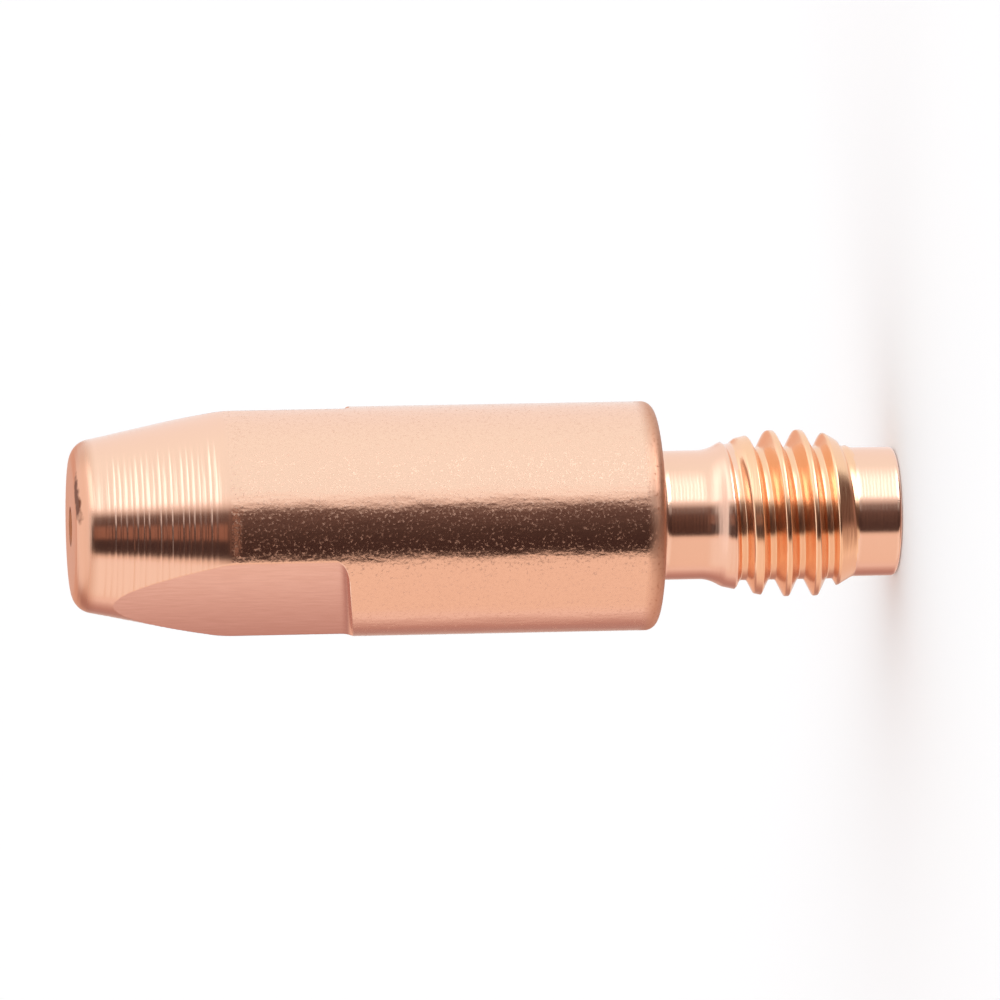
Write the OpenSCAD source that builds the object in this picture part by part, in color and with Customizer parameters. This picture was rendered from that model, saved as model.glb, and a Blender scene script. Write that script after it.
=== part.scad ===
// Contact tip for a welding torch, turned from one piece of copper.
// The wire runs up the bore along +Z: in at the threaded end (z = 0), out at the nose.
// Sizes are in millimetres and angles in degrees.

/* [Body] */
// Length from the threaded end to the nose face
overall_length = 28.5; // [26:0.1:40]
// Diameter of the round body
body_diameter = 7.9; // [7.5:0.1:10]
// Radius of the body's edge at the shoulder
shoulder_edge_radius = 0.4; // [0.1:0.05:0.5]

/* [Nose] */
// Length of the tapered nose
nose_length = 5.2; // [3:0.1:7]
// Angle between the taper and the axis
nose_angle = 12; // [6:0.5:14]
// Radius of the edge around the nose face
nose_edge_radius = 0.75; // [0.2:0.05:1]

/* [Wrench flats] */
// Distance across the two flats
flats_across = 6; // [5:0.1:7]
// Length of the flats, back from the nose face
flats_length = 9.45; // [7:0.05:13]
// Corner radius of the cutter, left where a flat ends
flats_cutter_radius = 0.4; // [0.1:0.05:0.6]
// Angle by which the end of a flat runs out of square with the axis
flats_end_skew = 6; // [0:1:10]

/* [Threaded end] */
// Length from the end face to the shoulder that seats on the holder
shank_length = 8.35; // [7.5:0.05:10]
// Diameter of the plain pilot that enters the holder first
pilot_diameter = 4.45; // [4:0.05:4.7]
// Length of the pilot
pilot_length = 1.55; // [1:0.05:2.5]
// Radius of the pilot's edge
pilot_edge_radius = 0.15; // [0.05:0.05:0.3]
// Diameter of the neck between thread and shoulder
neck_diameter = 4.45; // [4:0.05:4.7]
// Length of the neck
neck_length = 1.75; // [1.5:0.05:2.5]
// Radius in the corner between neck and shoulder
shoulder_fillet_radius = 0.2; // [0.05:0.05:0.3]

/* [Thread] */
// Diameter over the crests, an M6 thread
thread_diameter = 5.8; // [5.7:0.01:6]
// Distance from crest to crest
thread_pitch = 1; // [0.75:0.05:1.1]
// Angle of the lead-in chamfer beside the pilot
thread_lead_angle = 30; // [25:1:45]
// Angle at which the crests fall away towards the neck
thread_runout_angle = 12; // [6:1:15]
// Length over which the crests fall away
thread_runout_length = 1.9; // [1:0.1:2]
// Radius of the tool that cut the neck, left beside the thread
neck_tool_radius = 0.7; // [0.2:0.05:0.8]
// Turn of the thread about the axis
thread_start_angle = 155; // [0:5:355]

/* [Wire bore] */
// Diameter of the bore, for a 1.0 mm wire
bore_diameter = 1.2; // [0.7:0.05:1.8]
// Diameter of the funnel that takes the wire in
lead_in_diameter = 2.4; // [2:0.1:3]
// Angle across the funnel
lead_in_angle = 60; // [45:5:90]
// Depth of the broken edge where the wire leaves
exit_chamfer = 0.1; // [0.05:0.05:0.3]

/* [Hidden] */
$fn = 96;

// A cutting shape runs this far past the surface that it opens
overrun = 1;

body_radius = body_diameter / 2;
pilot_radius = pilot_diameter / 2;
neck_radius = neck_diameter / 2;
thread_radius = thread_diameter / 2;
bore_radius = bore_diameter / 2;
nose_radius = body_radius - nose_length * tan(nose_angle);

// Heights of the turned steps
neck_bottom = shank_length - neck_length;
taper_bottom = overall_length - nose_length;

// Ends of the thread blank: a chamfer beside the pilot, then towards the neck a falling crest
// and a 45 degree wall
lead_top = pilot_length + (thread_radius - pilot_radius) / tan(thread_lead_angle);
runout_radius = thread_radius - thread_runout_length * tan(thread_runout_angle);
runout_top = neck_bottom - (runout_radius - neck_radius);
runout_bottom = runout_top - thread_runout_length;

// Metric thread form: flanks at 60 degrees, a root 0.6134 pitches deep
// and a crest an eighth of a pitch wide
thread_depth = 0.6134 * thread_pitch;
groove_mouth = 7 / 8 * thread_pitch;
flank_slope = tan(30);
steps_per_turn = 40;

function unit(v) = v / norm(v);

// The sliver between a corner and the arc that rounds it
module corner_sliver(before, corner, after, radius) {
    to_before = unit(before - corner);
    to_after = unit(after - corner);
    half_angle = acos(to_before * to_after) / 2;
    reach = radius / tan(half_angle);
    centre = corner + unit(to_before + to_after) * radius / sin(half_angle);
    difference() {
        polygon([corner, corner + to_before * reach, centre, corner + to_after * reach]);
        translate(centre) circle(radius);
    }
}

// Half of the turned blank, as radius and height
module turned_section() {
    end_edge = [pilot_radius, 0];
    pilot_top = [pilot_radius, pilot_length];
    crest_bottom = [thread_radius, lead_top];
    crest_top = [thread_radius, runout_bottom];
    runout_edge = [runout_radius, runout_top];
    neck_corner = [neck_radius, neck_bottom];
    shoulder_corner = [neck_radius, shank_length];
    shoulder_edge = [body_radius, shank_length];
    taper_edge = [body_radius, taper_bottom];
    nose_edge = [nose_radius, overall_length];

    difference() {
        union() {
            polygon([
                [0, 0], end_edge, pilot_top, crest_bottom, crest_top, runout_edge, neck_corner,
                shoulder_corner, shoulder_edge, taper_edge, nose_edge, [0, overall_length]
            ]);
            corner_sliver(runout_edge, neck_corner, shoulder_corner, neck_tool_radius);
            corner_sliver(neck_corner, shoulder_corner, shoulder_edge, shoulder_fillet_radius);
        }
        corner_sliver([0, 0], end_edge, pilot_top, pilot_edge_radius);
        corner_sliver(shoulder_corner, shoulder_edge, taper_edge, shoulder_edge_radius);
        corner_sliver(taper_edge, nose_edge, [0, overall_length], nose_edge_radius);
    }
}

// The helical groove between the crests, run out past both ends of the thread blank
module thread_groove() {
    bottom = pilot_length - thread_pitch / 2;
    top = neck_bottom + thread_pitch / 4;
    steps = ceil((top - bottom) / thread_pitch * steps_per_turn);
    root_radius = thread_radius - thread_depth;
    outer_radius = thread_radius + overrun / 2;
    root_half = groove_mouth / 2 - thread_depth * flank_slope;
    outer_half = groove_mouth / 2 + (outer_radius - thread_radius) * flank_slope;
    // One slice across the groove, as radius and height
    slice = [
        [root_radius, -root_half], [root_radius, root_half],
        [outer_radius, outer_half], [outer_radius, -outer_half]
    ];
    corners = len(slice);
    points = [
        for (step = [0:steps], corner = slice)
            let (angle = thread_start_angle + 360 * step / steps_per_turn)
            [
                corner.x * cos(angle),
                corner.x * sin(angle),
                corner.y + bottom + thread_pitch * step / steps_per_turn
            ]
    ];
    walls = [
        for (step = [0:steps - 1], side = [0:corners - 1])
            let (
                a = step * corners + side,
                b = step * corners + (side + 1) % corners,
                tri = [[a, a + corners, b + corners], [a, b + corners, b]]
            )
            each tri
    ];
    first_end = [for (side = [0:corners - 1]) side];
    last_end = [for (side = [corners - 1:-1:0]) steps * corners + side];
    polyhedron(points, concat(walls, [first_end, last_end]), convexity = 8);
}

// What the milling cutter takes off to leave the flat that faces -Y
module flat_cut() {
    depth = body_radius - flats_across / 2 + overrun;
    height = flats_length + overrun;
    translate([0, -flats_across / 2, overall_length - flats_length])
        rotate([0, -flats_end_skew, 0])
            rotate([90, 0, -90])
                linear_extrude(2 * body_diameter, center = true)
                    difference() {
                        square([depth, height]);
                        corner_sliver([0, height], [0, 0], [depth, 0], flats_cutter_radius);
                    }
}

// The way through for the wire: a funnel, the bore and a broken edge at the nose
module wire_bore() {
    funnel_slope = tan(lead_in_angle / 2);
    funnel_depth = (lead_in_diameter / 2 - bore_radius) / funnel_slope;
    rotate_extrude()
        polygon([
            [0, -overrun],
            [lead_in_diameter / 2 + overrun * funnel_slope, -overrun],
            [bore_radius, funnel_depth],
            [bore_radius, overall_length - exit_chamfer],
            [bore_radius + exit_chamfer + overrun, overall_length + overrun],
            [0, overall_length + overrun]
        ]);
}

module contact_tip() {
    color("#DE9E7C")
        difference() {
            rotate_extrude() turned_section();
            thread_groove();
            for (turn = [0, 180]) rotate(turn) flat_cut();
            wire_bore();
        }
}

contact_tip();
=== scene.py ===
import math

import bmesh
import bpy
from mathutils import Matrix, Vector


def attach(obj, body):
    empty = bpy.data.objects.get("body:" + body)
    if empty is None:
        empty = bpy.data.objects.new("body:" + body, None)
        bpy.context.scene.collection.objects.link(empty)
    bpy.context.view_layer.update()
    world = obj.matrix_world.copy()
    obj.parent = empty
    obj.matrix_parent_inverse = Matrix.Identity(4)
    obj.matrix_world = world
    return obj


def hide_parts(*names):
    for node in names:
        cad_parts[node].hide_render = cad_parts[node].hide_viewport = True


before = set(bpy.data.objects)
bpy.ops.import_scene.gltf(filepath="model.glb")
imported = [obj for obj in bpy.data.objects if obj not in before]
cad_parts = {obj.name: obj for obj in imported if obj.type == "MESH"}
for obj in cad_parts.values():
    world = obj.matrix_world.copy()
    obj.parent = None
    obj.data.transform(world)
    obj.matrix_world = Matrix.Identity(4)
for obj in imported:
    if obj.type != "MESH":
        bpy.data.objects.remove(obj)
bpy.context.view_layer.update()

# Copper bar: the whole tip is cut from one length of drawn bar, so its skin is one stack of rings set along
# it. Heights are in millimetres from the threaded end, where the wire goes in, up to the nose. Two flats are
# milled beside the nose, so each ring has four spans: round side, back flat, round side, front flat.
body_radius = 3.95
flat_from_axis = 3.0
flat_crown = 0.12
flat_half_width = math.sqrt(body_radius ** 2 - flat_from_axis ** 2)
flat_end_corner = 0.4
flat_end_skew = math.radians(6)
round_columns = 66
flat_columns = 54
edge_share = 0.008
spread_share = 0.05


def span_shares(columns):
    """Places of the columns along a span. A close second column keeps the flats' edges crisp."""
    inner = [column / columns for column in range(1, columns)]
    return [0, edge_share] + inner + [1 - edge_share]


def ring_columns(edge):
    """Angle of each column, its place in its span and whether that is a flat with its edge at this angle."""
    spans = [
        (-edge, edge, round_columns, False),
        (edge, math.pi - edge, flat_columns, True),
        (math.pi - edge, math.pi + edge, round_columns, False),
        (math.pi + edge, 2 * math.pi - edge, flat_columns, True),
    ]
    return [
        (start + (end - start) * share, share, on_flat)
        for start, end, columns, on_flat in spans
        for share in span_shares(columns)
    ]


def flat_height(across):
    """Distance of a flat from the axis. Tumbling leaves it a little proud in the middle."""
    return flat_from_axis + flat_crown * (1 - (across / flat_half_width) ** 2)


def edge_angle(radius, above_flat):
    """Where a flat, or a cut that stays this far above it, meets a circle. Each round comes closer."""
    edge = math.asin(flat_from_axis / body_radius)
    for _ in range(12):
        edge = math.asin(min(1, (flat_height(radius * math.cos(edge)) + above_flat) / radius))
    return edge


plain_edge = edge_angle(body_radius, flat_end_corner)


def ring(height, radius, above_flat=None, cut=1.0, skew=0.0, spread=0.0):
    """One ring of points, cut by the flats if it is given how far the cut stays above them.

    The cut can be part of the way in, skew leans the ring as the flats' ends lean, and spread moves
    its round sides along the bar, where rings would otherwise crowd together."""
    edge = plain_edge if above_flat is None else edge_angle(radius, above_flat)
    points = []
    for angle, share, on_flat in ring_columns(edge):
        reach, place = radius, height
        if on_flat and above_flat is not None:
            for _ in range(4):
                cut_height = flat_height(reach * math.cos(angle)) + above_flat
                reach = min(radius, cut_height / abs(math.sin(angle)))
            reach = radius + (reach - radius) * cut
        if not on_flat:
            place += spread * min(1, min(share, 1 - share) / spread_share)
        x, y = reach * math.cos(angle), reach * math.sin(angle)
        # The two flats' ends lean opposite ways, and the round sides change over between them
        lean = max(-1, min(1, -4 * math.sin(angle))) * math.tan(flat_end_skew)
        points.append((x, y, place + lean * x * skew))
    return points


def arc(centre_radius, centre_height, radius, start, end, steps):
    """Radius and height of points along a turned radius, with angles in degrees."""
    for step in range(steps + 1):
        angle = math.radians(start + (end - start) * step / steps)
        yield centre_radius + radius * math.cos(angle), centre_height + radius * math.sin(angle)


rings = []
finishes = []


def add_ring(finish, points):
    """Adds a ring. The finish is that of the faces that lead up to it."""
    rings.append(points)
    finishes.append(finish)


# Pilot: the plain turned end that enters the holder first, with its edge broken. The end is faced square,
# and the wire comes in through the funnel in the middle of that face.
MM = 0.001
pilot_radius = 2.225
pilot_edge = 0.15
funnel_radius = 1.2
face_middle = 1.6
# A second ring this close keeps an edge crisp, or keeps a round edge's shading off the face beside it
hairline = 0.02
ring_gap = 0.05
add_ring("drilled_and_shaded", ring(0, funnel_radius))
for radius in (funnel_radius + hairline, face_middle, pilot_radius - pilot_edge - hairline):
    add_ring("faced", ring(0, radius))
for radius, height in arc(pilot_radius - pilot_edge, pilot_edge, pilot_edge, -90, 0, steps=6):
    add_ring("turned_shank", ring(height, radius))
add_ring("turned_shank", ring(pilot_edge + ring_gap, pilot_radius))
first_turn = len(rings)


def linear(hex_colour):
    """Linear red, green, blue and alpha of an sRGB hex value."""
    channels = [int(hex_colour[place:place + 2], 16) / 255 for place in (1, 3, 5)]
    return [c / 12.92 if c <= 0.04045 else ((c + 0.055) / 1.055) ** 2.4 for c in channels] + [1]


def add_node(tree, kind, inputs=None, **settings):
    """Adds a node with its settings. An input is a value, or an output to link it to."""
    made = tree.nodes.new(kind)
    for name, value in settings.items():
        setattr(made, name, value)
    for name, value in (inputs or {}).items():
        if isinstance(value, bpy.types.NodeSocket):
            tree.links.new(value, made.inputs[name])
        else:
            made.inputs[name].default_value = value
    return made


def copper(name, inputs):
    """A copper material with these inputs set, its tree, its shader and the tip's own coordinates."""
    material = bpy.data.materials.new(name)
    material.use_nodes = True
    tree = material.node_tree
    tree.nodes.clear()
    shader = add_node(tree, "ShaderNodeBsdfPrincipled", {"Metallic": 1.0, **inputs})
    add_node(tree, "ShaderNodeOutputMaterial", {"Surface": shader.outputs["BSDF"]})
    place = add_node(tree, "ShaderNodeTexCoord").outputs["Object"]
    return material, tree, shader, place


def per_mm(size):
    """Noise scale at which one feature is this many millimetres wide."""
    return 1 / (size * MM)


def wave_per_mm(spacing):
    """Wave scale at which the lines are this many millimetres apart."""
    return math.pi / 10 / (spacing * MM)


def turning_marks(tree, shader, place, width, depth, smear):
    """Fine lines round the axis, which smear a reflection along the axis and leave it sharp across.

    Gives the normal that they leave. Along the lines the marks are drawn out to many times their width."""
    shader.inputs["Anisotropic"].default_value = smear
    shader.inputs["Anisotropic Rotation"].default_value = 0.25
    around = add_node(tree, "ShaderNodeTangent", direction_type="RADIAL", axis="Z")
    tree.links.new(around.outputs["Tangent"], shader.inputs["Tangent"])
    lines = add_node(tree, "ShaderNodeVectorMath", {0: place, 1: (0.06, 0.06, 1)}, operation="MULTIPLY")
    feed = add_node(tree, "ShaderNodeTexNoise",
                    {"Vector": lines.outputs["Vector"], "Scale": per_mm(width), "Detail": 2.0})
    marks = add_node(tree, "ShaderNodeBump",
                     {"Height": feed.outputs["Fac"], "Distance": depth * MM, "Strength": 1.0})
    return marks.outputs["Normal"]


# Copper, faced: the tool leaves rings round the axis and a duller, darker skin. The real rings are a few
# hundredths of a millimetre apart and are drawn coarser here, so that they show.
facing_spacing = 0.15
facing_depth = 0.004
faced, tree, shader, place = copper("copper_faced", {"Base Color": linear("#E3AC90"), "Roughness": 0.4})
tool_rings = add_node(tree, "ShaderNodeTexWave",
                      {"Vector": place, "Scale": wave_per_mm(facing_spacing),
                       "Distortion": 1.5, "Detail": 2.0},
                      wave_type="RINGS", rings_direction="Z")
faced_marks = add_node(tree, "ShaderNodeBump",
                       {"Height": tool_rings.outputs["Fac"], "Distance": facing_depth * MM, "Strength": 1.0})
tree.links.new(faced_marks.outputs["Normal"], shader.inputs["Normal"])

# Copper, turned with a fine feed, on pilot and neck: bright, with a long soft highlight and faint lines
# round the axis. The real feed is finer than 0.05 mm and is drawn coarser here, so that it shows.
shank_mark_width = 0.12
shank_mark_depth = 0.004
shank_smear = 0.88
shank_feed = 0.125
shank_feed_depth = 0.0008
turned_shank, tree, shader, place = copper("copper_turned_shank",
                                           {"Base Color": linear("#F7CBB5"), "Roughness": 0.21})
shank_marks = turning_marks(tree, shader, place, shank_mark_width, shank_mark_depth, shank_smear)
feed_lines = add_node(tree, "ShaderNodeTexWave",
                      {"Vector": place, "Scale": wave_per_mm(shank_feed), "Distortion": 2.5, "Detail": 3.0},
                      bands_direction="Z")
grooves = add_node(tree, "ShaderNodeBump",
                   {"Height": feed_lines.outputs["Fac"], "Distance": shank_feed_depth * MM,
                    "Strength": 1.0, "Normal": shank_marks})
tree.links.new(grooves.outputs["Normal"], shader.inputs["Normal"])

# Thread: M6 x 1, right-hand, cut with a die, so rows of the mesh follow the helix. The crests start on a
# chamfer beside the pilot and fall away towards the neck, where the die leaves the last half turn shallow.
thread_pitch = 1.0
thread_radius = 2.9
crest_edge = 0.05
root_radius = 2.29
root_half_width = 0.12
root_rounding = 0.08
flank_slope = math.tan(math.radians(27))
groove_start_height = 1.05
groove_start_turn = 155 / 360
groove_height_at_zero = groove_start_height - groove_start_turn * thread_pitch
groove_full_to = 5.5
groove_gone_at = 6.05
chamfer_start = 1.5
chamfer_slope = math.tan(math.radians(30))
chamfer_rounding = 0.15
runout_start = 4.3
runout_slope = 0.235
runout_rounding = 0.1
pilot_corner = 0.04
neck_wall_height = 6.08
neck_wall_radius = 2.47
neck_wall_slope = 0.8
neck_flare = 0.35
neck_flare_from = 5


def soft_min(a, b, width):
    """The smaller of two sizes, with the corner between them rounded over the given width."""
    overlap = max(width - abs(a - b), 0) / width
    return min(a, b) - overlap * overlap * width / 4


def soft_max(a, b, width):
    """The larger of two sizes, rounded in the same way."""
    return -soft_min(-a, -b, width)


def shank_radius(height, from_groove):
    """Radius of the shank at a height and this far from the middle of the groove."""
    chamfer = pilot_radius + (height - chamfer_start) * chamfer_slope
    runout = thread_radius - max(height - runout_start, 0) * runout_slope
    crest = soft_min(chamfer, soft_min(thread_radius, runout, runout_rounding), chamfer_rounding)
    wall = neck_wall_radius + (neck_wall_height - height) * neck_wall_slope
    corner = neck_flare if height > neck_flare_from else pilot_corner
    blank = soft_max(pilot_radius, soft_min(crest, wall, crest_edge), corner)
    flank = root_radius + (abs(from_groove) - root_half_width) / flank_slope
    grooved = soft_min(soft_max(flank, root_radius, root_rounding), blank, crest_edge)
    groove_height = height - from_groove
    fade = max(0, min(1, (groove_gone_at - groove_height) / (groove_gone_at - groove_full_to)))
    return blank - (blank - grooved) * fade


# Rows in a pitch, closest where root and crest are rounded
half_rows = [0, 0.06, 0.1, 0.13, 0.17, 0.24, 0.31, 0.36, 0.395, 0.425, 0.455]
row_places = half_rows + [0.5] + [1 - row_place for row_place in reversed(half_rows[1:])]
rows_per_turn = len(row_places)
first_row_height = 0.45
last_row_height = 6.95
most_turns = 8
for row in range(-rows_per_turn, most_turns * rows_per_turn):
    turns = row // rows_per_turn + row_places[row % rows_per_turn]
    row_height = groove_height_at_zero + turns * thread_pitch
    if not first_row_height <= row_height <= last_row_height:
        continue
    points = []
    for angle, _, _ in ring_columns(plain_edge):
        height = row_height + thread_pitch * angle / (2 * math.pi)
        radius = shank_radius(height, (turns - round(turns)) * thread_pitch)
        points.append((radius * math.cos(angle), radius * math.sin(angle), height))
    add_ring("turned_shank", points)
last_turn = len(rings) - 1

# Copper, cut with a die: bright flanks that light each other up, which deepens the colour in the grooves.
# The die's own marks are finer and are drawn coarser here, so that they show.
die_mark_width = 0.12
die_mark_depth = 0.01
die_smear = 0.5
thread, tree, shader, place = copper("copper_thread_cut",
                                     {"Base Color": linear("#FAC9A6"), "Roughness": 0.22})
thread_marks = turning_marks(tree, shader, place, die_mark_width, die_mark_depth, die_smear)
tree.links.new(thread_marks, shader.inputs["Normal"])

# Neck and shoulder: the neck is turned below the thread's root, so that the flat shoulder seats on the
# holder's face and carries the current. The corner keeps the tool's radius, and the body's edge is rounded.
neck_radius = 2.225
neck_fillet = 0.35
shoulder_height = 8.35
shoulder_edge = 0.4
fillet_height = shoulder_height - neck_fillet
add_ring("turned_shank", ring(fillet_height - hairline, neck_radius))
for radius, height in arc(neck_radius + neck_fillet, fillet_height, neck_fillet, 180, 90, steps=6):
    add_ring("turned_shank", ring(height, radius))
edge_height = shoulder_height + shoulder_edge
for radius, height in arc(body_radius - shoulder_edge, edge_height, shoulder_edge, -90, 0, steps=12):
    add_ring("drawn", ring(height, radius))

# Body: the bar's own round surface, left as it was drawn and then tumbled with the finished tip. Its upper
# rings lean over step by step, to meet the ends of the flats.
tip_length = 28.5
flat_length = 9.45
flat_end_height = tip_length - flat_length
body_rings = ((14, 0), (17.6, 0), (18.3, 0.5), (flat_end_height - 0.45, 1))
add_ring("drawn", ring(edge_height + ring_gap, body_radius))
for height, skew in body_rings:
    add_ring("drawn", ring(height, body_radius, skew=skew))

# Copper, drawn and tumbled: satin, with crossing hair scratches, matt specks and a slow waviness along the
# bar that frets the edges of reflections. Real hairs and specks are some 0.03 mm wide and are drawn coarser
# here, so that they show. Towards the shoulder's edge the skin is worn dull, and its colour turns brown
# there as painted shade.
hair_spacing = 0.15
hair_depth = 0.002
hair_bend_length = 0.4
hair_bend = 0.25
speck_size = 0.1
speck_depth = 0.0035
wave_length = 0.8
wave_depth = 0.024
worn_and_shaded_from = shoulder_height + 0.72
worn_and_shaded_to = shoulder_height + 0.3
worn_roughness = 0.4
drawn, tree, shader, place = copper("copper_drawn_tumbled", {})
drift = add_node(tree, "ShaderNodeTexNoise",
                 {"Vector": place, "Scale": per_mm(hair_bend_length), "Detail": 2.0})
bent = add_node(tree, "ShaderNodeVectorMath",
                {0: drift.outputs["Color"], 1: [hair_bend * MM] * 3, 2: place}, operation="MULTIPLY_ADD")
hairs = add_node(tree, "ShaderNodeTexNoise",
                 {"Vector": bent.outputs["Vector"], "Scale": per_mm(hair_spacing),
                  "Detail": 3.0, "Roughness": 0.7},
                 noise_type="RIDGED_MULTIFRACTAL")
scratched = add_node(tree, "ShaderNodeMapRange",
                     {"Value": hairs.outputs["Fac"], "From Min": 0.7, "From Max": 1.6,
                      "To Min": 0.13, "To Max": 0.45})
specks = add_node(tree, "ShaderNodeTexNoise",
                  {"Vector": place, "Scale": per_mm(speck_size), "Detail": 2.0, "Roughness": 0.6})
matt_specks = add_node(tree, "ShaderNodeMapRange",
                       {"Value": specks.outputs["Fac"], "From Min": 0.55, "From Max": 0.75, "To Max": 0.42})
dulled = add_node(tree, "ShaderNodeMath",
                  {0: scratched.outputs["Result"], 1: matt_specks.outputs["Result"]}, operation="ADD")
up_the_bar = add_node(tree, "ShaderNodeSeparateXYZ", {"Vector": place}).outputs["Z"]
worn_and_shaded_edge = add_node(tree, "ShaderNodeMapRange",
                     {"Value": up_the_bar, "From Min": worn_and_shaded_from * MM, "From Max": worn_and_shaded_to * MM})
worn = add_node(tree, "ShaderNodeMath",
                {0: worn_and_shaded_edge.outputs["Result"], 1: worn_roughness, 2: dulled.outputs["Value"]},
                operation="MULTIPLY_ADD")
tree.links.new(worn.outputs["Value"], shader.inputs["Roughness"])
lengthwise = add_node(tree, "ShaderNodeVectorMath", {0: place, 1: (1, 1, 0.35)}, operation="MULTIPLY")
waves = add_node(tree, "ShaderNodeTexNoise",
                 {"Vector": lengthwise.outputs["Vector"], "Scale": per_mm(wave_length), "Detail": 3.0})
wavy = add_node(tree, "ShaderNodeBump",
                {"Height": waves.outputs["Fac"], "Distance": wave_depth * MM, "Strength": 1.0})
dents = add_node(tree, "ShaderNodeBump",
                 {"Height": specks.outputs["Fac"], "Distance": speck_depth * MM, "Strength": 1.0,
                  "Normal": wavy.outputs["Normal"]})
fibres = add_node(tree, "ShaderNodeBump",
                  {"Height": hairs.outputs["Fac"], "Distance": hair_depth * MM, "Strength": 1.0,
                   "Normal": dents.outputs["Normal"]})
tree.links.new(fibres.outputs["Normal"], shader.inputs["Normal"])
speck_share = add_node(tree, "ShaderNodeMapRange",
                       {"Value": specks.outputs["Fac"], "From Min": 0.4, "From Max": 0.75})
skin_tone = add_node(tree, "ShaderNodeMixRGB",
                     {"Fac": speck_share.outputs["Result"],
                      "Color1": linear("#F9CEB8"), "Color2": linear("#F2C6B0")})
# Painted shade: towards the shoulder's edge the colour turns brown, where the rounding would mirror the low
# lamp
edge_painted_shade_tone = add_node(tree, "ShaderNodeMixRGB",
                     {"Fac": worn_and_shaded_edge.outputs["Result"],
                      "Color1": skin_tone.outputs["Color"], "Color2": linear("#DDA88E")})
tree.links.new(edge_painted_shade_tone.outputs["Color"], shader.inputs["Base Color"])

# Flats: two faces for a spanner, milled across the bar a few degrees out of square. The cutter's corner
# leaves a radius where each one ends, and the rings go down into the cut and then round that radius.
flat_edge_gap = 0.04
outside_height = flat_end_height - flat_edge_gap
add_ring("drawn", ring(outside_height, body_radius, flat_end_corner, cut=0, skew=1, spread=-0.3))
first_cut = len(rings)
# How far in, or how many degrees round the corner, and how far the round sides are spread along the bar
into_the_cut = ((0, -0.28), (0.07, -0.225), (0.5, -0.17), (0.93, -0.115), (1, -0.06))
round_the_corner = ((14, -0.04), (27, -0.03), (40, -0.02), (52, -0.015), (64, -0.01), (77, -0.01), (90, 0))
for cut, spread in into_the_cut:
    add_ring("drawn", ring(flat_end_height, body_radius, flat_end_corner, cut=cut, skew=1, spread=spread))
for degrees, spread in round_the_corner:
    rise = flat_end_corner * (1 - math.cos(math.radians(degrees)))
    above = flat_end_corner * (1 - math.sin(math.radians(degrees)))
    add_ring("drawn", ring(flat_end_height + rise, body_radius, above, skew=1, spread=spread))
for height, skew in ((20, 0.8), (20.6, 0.4), (21.4, 0)):
    add_ring("drawn", ring(height, body_radius, 0, skew=skew))

# Copper, milled: smooth and even, with faint lines along the bar. The cutter's own lines are finer and are
# drawn coarser here, so that they show.
cutter_line_width = 0.12
milled, tree, shader, place = copper("copper_milled", {"Roughness": 0.2})
stretched = add_node(tree, "ShaderNodeVectorMath", {0: place, 1: (1, 1, 0.15)}, operation="MULTIPLY")
cutter_lines = add_node(tree, "ShaderNodeTexNoise",
                        {"Vector": stretched.outputs["Vector"], "Scale": per_mm(cutter_line_width),
                         "Detail": 3.0})
milled_tone = add_node(tree, "ShaderNodeMixRGB",
                       {"Fac": cutter_lines.outputs["Fac"],
                        "Color1": linear("#FBD2C2"), "Color2": linear("#EBBDAA")})
tree.links.new(milled_tone.outputs["Color"], shader.inputs["Base Color"])

# Nose: turned to a taper with a coarse feed, which leaves a shallow scallop for each turn of the bar, then
# rounded at the edge with a file and faced off square.
taper_length = 5.2
taper_degrees = 12
taper_angle = math.radians(taper_degrees)
taper_start = tip_length - taper_length
blend = 4.0
blend_reach = blend * math.tan(taper_angle / 2)
blend_start = taper_start - blend_reach
add_ring("drawn", ring(blend_start - ring_gap, body_radius, 0))
for radius, height in arc(body_radius - blend, blend_start, blend, 0, taper_degrees, steps=10):
    add_ring("drawn" if height < taper_start else "turned_nose", ring(height, radius, 0))

nose_edge = 0.75
nose_edge_reach = nose_edge / math.tan((math.pi / 2 + taper_angle) / 2)
taper_end = tip_length - nose_edge_reach * math.cos(taper_angle)
feed_pitch = 0.19
scallop_depth = 0.009
plain_length = 0.25
plain_rows = 6
scallop_start = taper_start + blend_reach * math.cos(taper_angle) + hairline
scallops = int((taper_end - plain_length - scallop_start) / feed_pitch)
taper_rows = []
for scallop in range(scallops):
    # The bar chatters a little, so no two turns of the tool are quite alike
    strength = 0.65 + 0.35 * math.sin(scallop * 2.4) * math.sin(scallop * 0.9 + 1)
    wander = 0.08 * math.sin(scallop * 3.7)
    for share in (0, 0.12, 0.38, 0.62, 0.88):
        hollow = share * (1 - share)
        height = scallop_start + (scallop + share) * feed_pitch + wander * hollow
        taper_rows.append((height, 4 * scallop_depth * strength * hollow))
plain_start = scallop_start + scallops * feed_pitch
for row in range(plain_rows):
    taper_rows.append((plain_start + (taper_end - plain_start) * row / plain_rows, 0))
for height, sunk in taper_rows:
    radius = body_radius - (height - taper_start) * math.tan(taper_angle) - sunk
    add_ring("turned_nose", ring(height, radius, 0))
face_radius = body_radius - taper_length * math.tan(taper_angle) - nose_edge_reach
for radius, height in arc(face_radius, tip_length - nose_edge, nose_edge, taper_degrees, 90, steps=14):
    add_ring("turned_nose", ring(height, radius, 0))

# Copper, turned to a taper: bright, with fine lines round the axis inside the scallops, drawn coarser than
# the tool leaves them, so that they show. The filed edge and the face are duller, with facing rings, and
# their colour is darkened as painted shade. A dark mark with ragged sides is painted on the edge.
nose_mark_width = 0.12
nose_mark_depth = 0.006
nose_smear = 0.3
nose_facing_depth = 0.003
filed_and_shaded_from = taper_end - 0.2
filed_and_shaded_to = taper_end + 0.3
# Middle of a dark mark with ragged sides, painted into the colour of the nose's edge, in millimetres
dark_mark_middle = (2.46, -0.25, 28.42)
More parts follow.
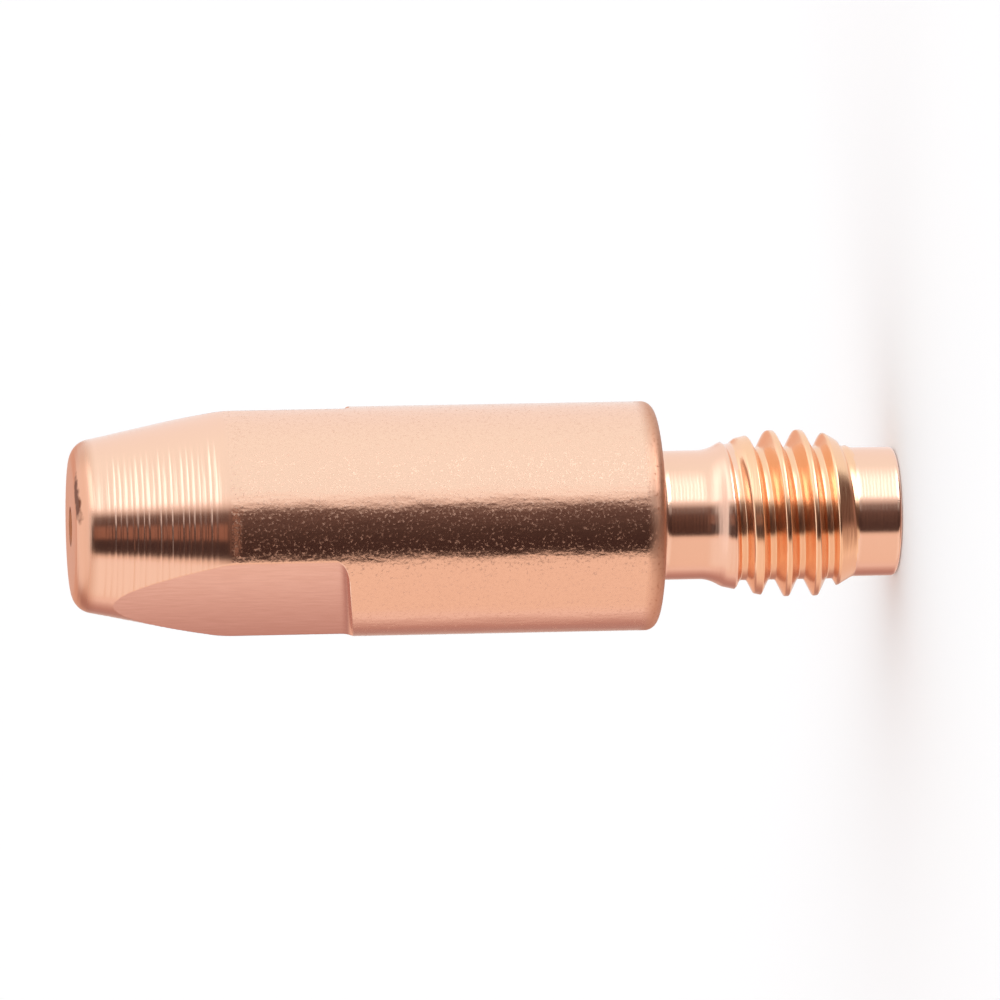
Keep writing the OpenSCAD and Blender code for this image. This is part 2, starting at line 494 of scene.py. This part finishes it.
# How fast the dark mark ends in each direction, per millimetre: it is long round the edge and narrow across
# it
dark_mark_falloff = (4.2, 0.95, 4.2)
dark_mark_ragged_size = 0.3
turned_nose, tree, shader, place = copper("copper_turned_nose", {})
nose_marks = turning_marks(tree, shader, place, nose_mark_width, nose_mark_depth, nose_smear)
up_the_nose = add_node(tree, "ShaderNodeSeparateXYZ", {"Vector": place}).outputs["Z"]
filed_and_shaded = add_node(tree, "ShaderNodeMapRange",
                 {"Value": up_the_nose, "From Min": filed_and_shaded_from * MM, "From Max": filed_and_shaded_to * MM},
                 interpolation_type="SMOOTHSTEP").outputs["Result"]
dull = add_node(tree, "ShaderNodeMapRange", {"Value": filed_and_shaded, "To Min": 0.16, "To Max": 0.3})
tree.links.new(dull.outputs["Result"], shader.inputs["Roughness"])
# Painted shade: the filed edge and the face turn a darker brown, where they would mirror the bright roof
nose_tone_and_painted_shade = add_node(tree, "ShaderNodeMixRGB",
                     {"Fac": filed_and_shaded, "Color1": linear("#F7CBB5"), "Color2": linear("#DBA58A")})
# The dark mark: a darker colour painted at one place on the edge, with ragged sides
dark_mark_scale = [falloff / MM for falloff in dark_mark_falloff]
dark_mark_shift = [-middle * falloff for middle, falloff in zip(dark_mark_middle, dark_mark_falloff)]
from_dark_mark = add_node(tree, "ShaderNodeVectorMath",
                     {0: place, 1: dark_mark_scale, 2: dark_mark_shift}, operation="MULTIPLY_ADD")
dark_mark_distance = add_node(tree, "ShaderNodeVectorMath", {0: from_dark_mark.outputs["Vector"]}, operation="LENGTH")
dark_mark_edge = add_node(tree, "ShaderNodeTexNoise",
                     {"Vector": place, "Scale": per_mm(dark_mark_ragged_size), "Detail": 2.0})
ragged = add_node(tree, "ShaderNodeMath",
                  {0: dark_mark_edge.outputs["Fac"], 1: 1.3, 2: dark_mark_distance.outputs["Value"]},
                  operation="MULTIPLY_ADD")
dark_mark = add_node(tree, "ShaderNodeMapRange",
                {"Value": ragged.outputs["Value"], "From Min": 1.7, "From Max": 1.2, "To Max": 0.9})
dark_marked_tone = add_node(tree, "ShaderNodeMixRGB",
                       {"Fac": dark_mark.outputs["Result"],
                        "Color1": nose_tone_and_painted_shade.outputs["Color"], "Color2": linear("#5A2A18")})
tree.links.new(dark_marked_tone.outputs["Color"], shader.inputs["Base Color"])
nose_rings = add_node(tree, "ShaderNodeTexWave",
                      {"Vector": place, "Scale": wave_per_mm(facing_spacing),
                       "Distortion": 1.5, "Detail": 2.0},
                      wave_type="RINGS", rings_direction="Z")
faced_nose = add_node(tree, "ShaderNodeBump",
                      {"Height": nose_rings.outputs["Fac"], "Distance": nose_facing_depth * MM,
                       "Strength": filed_and_shaded, "Normal": nose_marks})
tree.links.new(faced_nose.outputs["Normal"], shader.inputs["Normal"])

# Bore: drilled right through for a 1.0 mm wire, with a funnel where the wire comes in and a broken edge
# where it leaves. The wire rubs along it and takes its current there.
bore_radius = 0.6
bore_middle = 14
exit_chamfer = 0.1
exit_height = tip_length - exit_chamfer
funnel_slope = math.tan(math.radians(30))
funnel_depth = (funnel_radius - bore_radius) / funnel_slope
for radius in (face_middle, bore_radius + exit_chamfer + hairline, bore_radius + exit_chamfer):
    add_ring("turned_nose", ring(tip_length, radius))
for height in (exit_height, exit_height - ring_gap, bore_middle, funnel_depth + ring_gap, funnel_depth):
    add_ring("drilled_and_shaded", ring(height, bore_radius))

# Copper, drilled: its colour is darkened as painted shade inside the bore, with the drill's lines round the
# wall. They are finer on the real one and are drawn coarser here, so that they show.
drill_mark_width = 0.15
drill_mark_depth = 0.01
drill_smear = 0.5
# Painted shade: the bore's colour is darkened, as the inside of a recess is shaded
drilled_and_shaded, tree, shader, place = copper("copper_drilled_and_shaded", {"Base Color": linear("#9C6448"), "Roughness": 0.3})
drill_marks = turning_marks(tree, shader, place, drill_mark_width, drill_mark_depth, drill_smear)
tree.links.new(drill_marks, shader.inputs["Normal"])

# Finished tip: the rings are joined into one closed skin, from the mouth of the funnel up the outside and
# back down the bore. The tip is one solid piece of copper, so it is one piece here, with seven finishes.
finish_materials = {
    "drawn": drawn,
    "milled": milled,
    "turned_nose": turned_nose,
    "turned_shank": turned_shank,
    "thread": thread,
    "faced": faced,
    "drilled_and_shaded": drilled_and_shaded,
}
finish_names = list(finish_materials)
thread_finish_to = groove_gone_at - 0.4
flat_slack = 0.005
columns = len(rings[0])
flat_column = [on_flat for _, _, on_flat in ring_columns(plain_edge)]
skin = bmesh.new()
verts = [[skin.verts.new((x * MM, y * MM, z * MM)) for x, y, z in points] for points in rings]


def add_face(corners, finish):
    """Adds a smooth face of the skin with its finish."""
    made = skin.faces.new(corners)
    made.smooth = True
    made.material_index = finish_names.index(finish)


for lower in range(len(rings)):
    upper = (lower + 1) % len(rings)
    for column in range(columns):
        beside = (column + 1) % columns
        finish = finishes[upper]
        x, y, z = rings[upper][column]
        on_thread = first_turn <= lower < last_turn and math.hypot(x, y) > pilot_radius + hairline
        if on_thread and z < thread_finish_to:
            finish = "thread"
        from_axis = max(abs(rings[lower][column][1]), abs(y))
        if lower >= first_cut and flat_column[column] and from_axis > flat_from_axis - flat_slack:
            finish = "milled"
        quad = [verts[lower][column], verts[lower][beside], verts[upper][beside], verts[upper][column]]
        if beside or not first_turn - 1 <= lower <= last_turn:
            add_face(quad, finish)
        elif lower == first_turn - 1:
            # Below the first row of the helix, one face takes up the whole climb of a turn
            climb = [verts[first_turn + row][0] for row in range(rows_per_turn + 1)]
            add_face(quad[:2] + climb + quad[3:], finish)
        elif lower == last_turn:
            # Above its last row, another face does
            climb = [verts[last_turn - row][column] for row in range(rows_per_turn + 1)]
            add_face(quad[1:] + climb, finish)
        elif upper + rows_per_turn <= last_turn:
            # Round at its start again, a row has climbed a whole turn
            climbed = [verts[lower + rows_per_turn][0], verts[upper + rows_per_turn][0]]
            add_face(quad[:1] + climbed + quad[3:], finish)

# Points that fall together, where a ring is too small for the flats to reach, become one
bmesh.ops.remove_doubles(skin, verts=skin.verts, dist=1e-7)
bmesh.ops.dissolve_degenerate(skin, edges=skin.edges, dist=1e-8)
bmesh.ops.recalc_face_normals(skin, faces=skin.faces)
tip_mesh = bpy.data.meshes.new("copper_tip")
skin.to_mesh(tip_mesh)
skin.free()
for material in finish_materials.values():
    tip_mesh.materials.append(material)
tip = bpy.data.objects.new("copper_tip", tip_mesh)
bpy.context.scene.collection.objects.link(tip)
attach(tip, "root")
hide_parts("contact_tip")

# Floor: a sheet of matt white card, a hair below the tip that stands on it. It is white by its own colour
# and takes the tip's soft shadow. The copper doesn't mirror it, because a standing tip would then show card
# along its whole length, where it should show the tent.
card_half = 1500
card_height = -0.02
card_corners = [(-card_half, -card_half), (card_half, -card_half),
                (card_half, card_half), (-card_half, card_half)]
card_mesh = bpy.data.meshes.new("white_card")
card_mesh.from_pydata([(x * MM, y * MM, card_height * MM) for x, y in card_corners], [], [(0, 1, 2, 3)])
# Card, matt: it scatters light evenly and shows no gloss
card_paper = bpy.data.materials.new("card_matt_white")
card_paper.use_nodes = True
tree = card_paper.node_tree
tree.nodes.clear()
matt = add_node(tree, "ShaderNodeBsdfDiffuse", {"Color": linear("#F6F9FC")})
add_node(tree, "ShaderNodeOutputMaterial", {"Surface": matt.outputs["BSDF"]})
card_mesh.materials.append(card_paper)
card = bpy.data.objects.new("white_card", card_mesh)
bpy.context.scene.collection.objects.link(card)
card.visible_glossy = False

# Camera: it looks across the tip from beside the front flat, a little from above, with a long lens. It is
# turned on its side, so that the tip lies along the picture with its nose to the left.
camera_azimuth = math.radians(61)
camera_elevation = math.radians(6.49)
camera_turn = math.radians(1.09)
picture_pixels = 1000
pixels_per_mm = 28.925
# The middle of the threaded end comes at this pixel
end_pixel_across = 893.0
end_pixel_down = 510.9
lens = 400.0
sensor = 36.0
back = Vector((math.sin(camera_azimuth) * math.cos(camera_elevation),
               -math.cos(camera_azimuth) * math.cos(camera_elevation),
               math.sin(camera_elevation)))
along = Vector((0, 0, -1)) + back * back.z
along.normalize()
across = back.cross(along)
right = along * math.cos(camera_turn) - across * math.sin(camera_turn)
up = along * math.sin(camera_turn) + across * math.cos(camera_turn)
pixels_right = picture_pixels / 2 - end_pixel_across
pixels_up = end_pixel_down - picture_pixels / 2
middle = (right * pixels_right + up * pixels_up) / pixels_per_mm * MM
distance = picture_pixels * lens / (sensor * pixels_per_mm) * MM
camera_data = bpy.data.cameras.new("camera")
camera_data.lens = lens
camera_data.sensor_width = sensor
camera_data.clip_start = 0.01
camera_data.clip_end = 10
camera = bpy.data.objects.new("camera", camera_data)
bpy.context.scene.collection.objects.link(camera)
camera_axes = Matrix((right, up, back)).transposed().to_4x4()
camera.matrix_world = Matrix.Translation(middle + back * distance) @ camera_axes
bpy.context.scene.camera = camera

# Studio light: a tent of white cloth stands round the tip, open where the camera looks in. Copper shows
# little but what it mirrors, so the tent's lit and dark parts are what draw the bands along the tip. Turns
# are in degrees from the opening towards the lamps' side, and heights in degrees above level.
brightest = 4.0


def lit(colour, level):
    """Light of this colour at this level, as a share of the brightest lamp's."""
    return [channel * level / brightest for channel in linear(colour)[:3]] + [1]


world = bpy.data.worlds.new("light_tent")
bpy.context.scene.world = world
world.use_nodes = True
tree = world.node_tree
tree.nodes.clear()
towards = add_node(tree, "ShaderNodeTexCoord").outputs["Generated"]
opening = Vector((back.x, back.y, 0)).normalized()
lamp_side = Vector((-opening.y, opening.x, 0))
facing = add_node(tree, "ShaderNodeVectorMath", {0: towards, 1: opening}, operation="DOT_PRODUCT")
aside = add_node(tree, "ShaderNodeVectorMath", {0: towards, 1: lamp_side}, operation="DOT_PRODUCT")
turn = add_node(tree, "ShaderNodeMath",
                {0: aside.outputs["Value"], 1: facing.outputs["Value"]},
                operation="ARCTAN2").outputs["Value"]
upright = add_node(tree, "ShaderNodeSeparateXYZ", {"Vector": towards}).outputs["Z"]
height_angle = add_node(tree, "ShaderNodeMath", {0: upright}, operation="ARCSINE").outputs["Value"]

# Turn, level and colour of the cloth walls
cloth = [
    # Away from the lamps, dim towards the back
    (-180, 0.93, "#FFFFFF"), (-165, 0.6, "#FFDCCF"), (-150, 0.48, "#FFCAC0"), (-136, 0.53, "#FFC8BC"),
    (-123, 0.73, "#FFDACF"), (-114, 0.93, "#FFE6DC"), (-100, 0.93, "#FFE5D3"), (-41, 0.94, "#FFE6D4"),
    # The dark opening
    (-36, 0.05, "#FFC5BC"), (-25, 0.05, "#FFC5BC"), (-10, 0.07, "#FFCFC2"), (4, 0.12, "#FFCFC2"),
    (11, 0.17, "#FFD4C6"),
    # On the lamps' side
    (18, 0.85, "#FFF0E6"), (24, 1.05, "#FFFCF6"), (32, 1.08, "#F9FFFB"), (90, 1.1, "#F9FFFB"),
    (150, 1.0, "#FFFFFF"), (180, 0.93, "#FFFFFF"),
]
turn_share = add_node(tree, "ShaderNodeMapRange",
                      {"Value": turn, "From Min": -math.pi, "From Max": math.pi})
walls = add_node(tree, "ShaderNodeValToRGB", {"Fac": turn_share.outputs["Result"]})
ramp = walls.color_ramp
ramp.interpolation = "LINEAR"
while len(ramp.elements) < len(cloth):
    ramp.elements.new(0.5)
for element, (degrees, level, colour) in zip(ramp.elements, cloth):
    element.position = (degrees + 180) / 360
    element.color = lit(colour, level)
light = walls.outputs["Color"]

# The white roof and the dim ground: the sines of the heights where each starts and is full, colour and level
roof = (0.53, 0.75, "#FFFFFF", 1.23)
ground = (-0.75, -0.97, "#FFCFC2", 0.35)
for start, full, colour, level in (roof, ground):
    cover = add_node(tree, "ShaderNodeMapRange", {"Value": upright, "From Min": start, "From Max": full},
                     interpolation_type="SMOOTHSTEP").outputs["Result"]
    light = add_node(tree, "ShaderNodeMixRGB",
                     {"Fac": cover, "Color1": light, "Color2": lit(colour, level)}).outputs["Color"]

# Patches of another brightness: colour, level, then turns and heights where each starts, is full, is still
# full and ends
patches = [
    # High lamp, which lights the taper, and the dim corner of its cloth
    ("#FFFFFF", 1.95, (18, 26, 60, 125), (18, 23, 34, 41)),
    ("#FFFFFF", 0.8, (-4, 6, 22, 30), (26, 30, 34, 40)),
    # Low lamp, which lights thread, neck and pilot, and the dim corner of its cloth
    ("#FFFFFF", 4.0, (18, 26, 55, 95), (-50, -40, -17, -12)),
    ("#FFFFFF", 0.5, (-2, 8, 22, 30), (-40, -33, -18, -12)),
    # Cloth across from the lamps, above level and below
    ("#FFF2E8", 1.0, (-112, -100, -46, -42), (4, 12, 34, 42)),
    ("#FFF2E8", 1.04, (-112, -100, -46, -42), (-55, -40, -20, -12)),
    ("#FFE6DC", 0.9, (-175, -165, -112, -100), (-70, -60, -22, -14)),
    # Two warm gleams in the opening, which the taper and its corner pick up
    ("#FFBCA0", 0.33, (-19, -15, -3, 2), (9, 13, 22, 26)),
    ("#FFC8B0", 0.32, (-34, -28, 12, 18), (-1, 1, 4, 6)),
    # Shade low down, from the opening round to the lamps' side
    ("#FFCFC2", 0.12, (-40, -22, 80, 100), (-78, -70, -52, -45)),
    # Warm back wall, in two halves because turns start over there
    ("#FFCDB4", 0.85, (146, 168, 190, 200), (1, 6, 34, 44)),
    ("#FFCDB4", 0.85, (-200, -190, -168, -146), (1, 6, 34, 44)),
]
for colour, level, turns, heights in patches:
    cover = 1.0
    for value, (start, full, still_full, end) in ((turn, turns), (height_angle, heights)):
        for outside, inside in ((start, full), (end, still_full)):
            side = add_node(tree, "ShaderNodeMapRange",
                            {"Value": value, "From Min": math.radians(outside),
                             "From Max": math.radians(inside)},
                            interpolation_type="SMOOTHSTEP").outputs["Result"]
            cover = add_node(tree, "ShaderNodeMath", {0: cover, 1: side},
                             operation="MULTIPLY").outputs["Value"]
    light = add_node(tree, "ShaderNodeMixRGB",
                     {"Fac": cover, "Color1": light, "Color2": lit(colour, level)}).outputs["Color"]
tent = add_node(tree, "ShaderNodeBackground", {"Color": light, "Strength": brightest})
add_node(tree, "ShaderNodeOutputWorld", {"Surface": tent.outputs["Background"]})

bpy.context.scene.view_settings.view_transform = "Standard"
